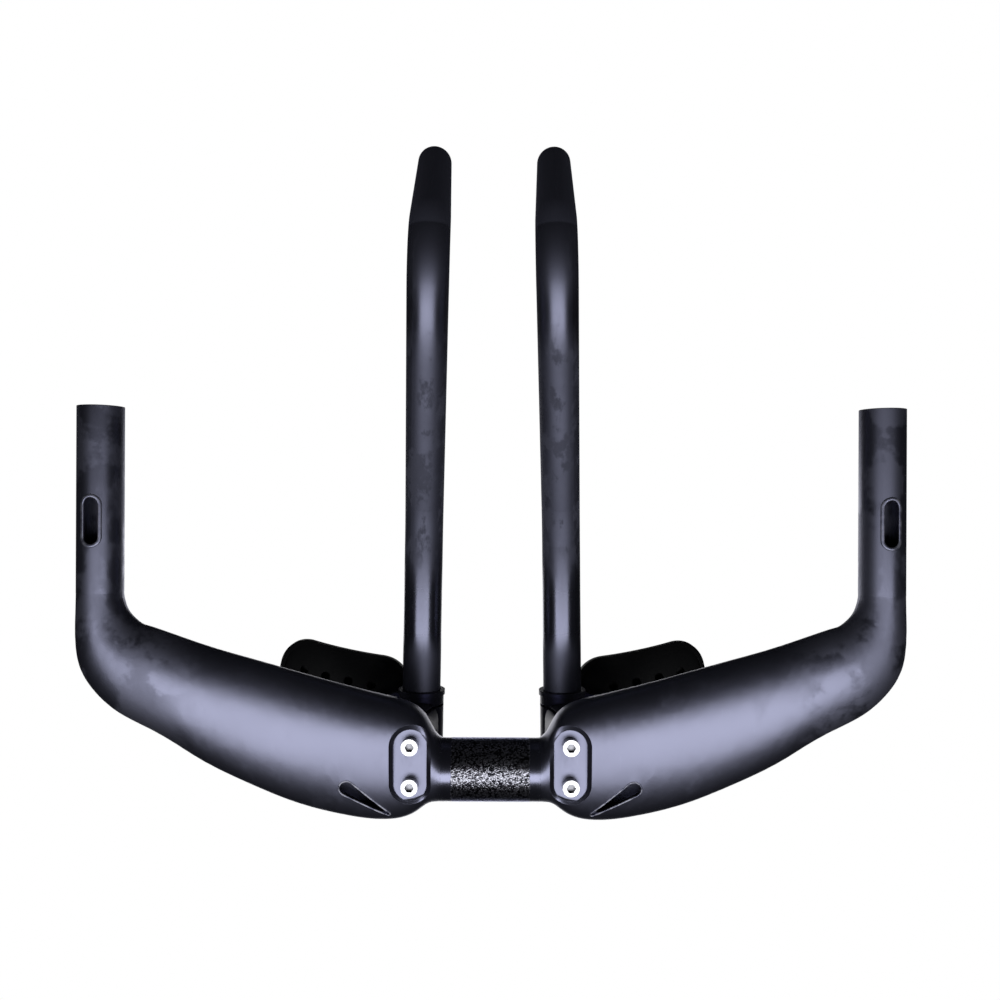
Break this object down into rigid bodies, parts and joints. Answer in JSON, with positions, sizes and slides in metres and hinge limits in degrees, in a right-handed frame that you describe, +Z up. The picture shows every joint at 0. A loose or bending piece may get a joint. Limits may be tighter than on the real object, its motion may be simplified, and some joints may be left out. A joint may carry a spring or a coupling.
{
  "type": "time trial handlebar",
  "caption": "Time trial cockpit: a hollow aero base bar with forward horns, bent extensions in split collars on pedestals, and padded arm rest cups on brackets.",
  "frame": {"origin": "centre of the round stem section of the base bar", "axes": "+X to the rider's right along the stem section, +Y forward along the bicycle, +Z up"},
  "size_m": [0.4156, 0.4004, 0.1378],
  "materials": {
    "moulding": "satin",
    "tube": "satin",
    "clamp": "anodised",
    "bolt": "satin",
    "cup": "matt",
    "pad": "matt"
  },
  "bodies": {
    "root": {"base_bar": "moulding", "right_extension": "tube", "right_extension_clamp": "clamp", "right_base_bolts": "bolt", "right_pinch_bolt": "bolt", "right_riser_spacer": "clamp", "right_armrest_bracket": "clamp", "right_bracket_bolts": "bolt", "right_armrest_cup": "cup", "right_cup_bolts": "bolt", "right_cup_nuts": "bolt", "right_arm_pad": "pad", "left_extension": "tube", "left_extension_clamp": "clamp", "left_base_bolts": "bolt", "left_pinch_bolt": "bolt", "left_riser_spacer": "clamp", "left_armrest_bracket": "clamp", "left_bracket_bolts": "bolt", "left_armrest_cup": "cup", "left_cup_bolts": "bolt", "left_cup_nuts": "bolt", "left_arm_pad": "pad"}
  },
  "joints": []
}
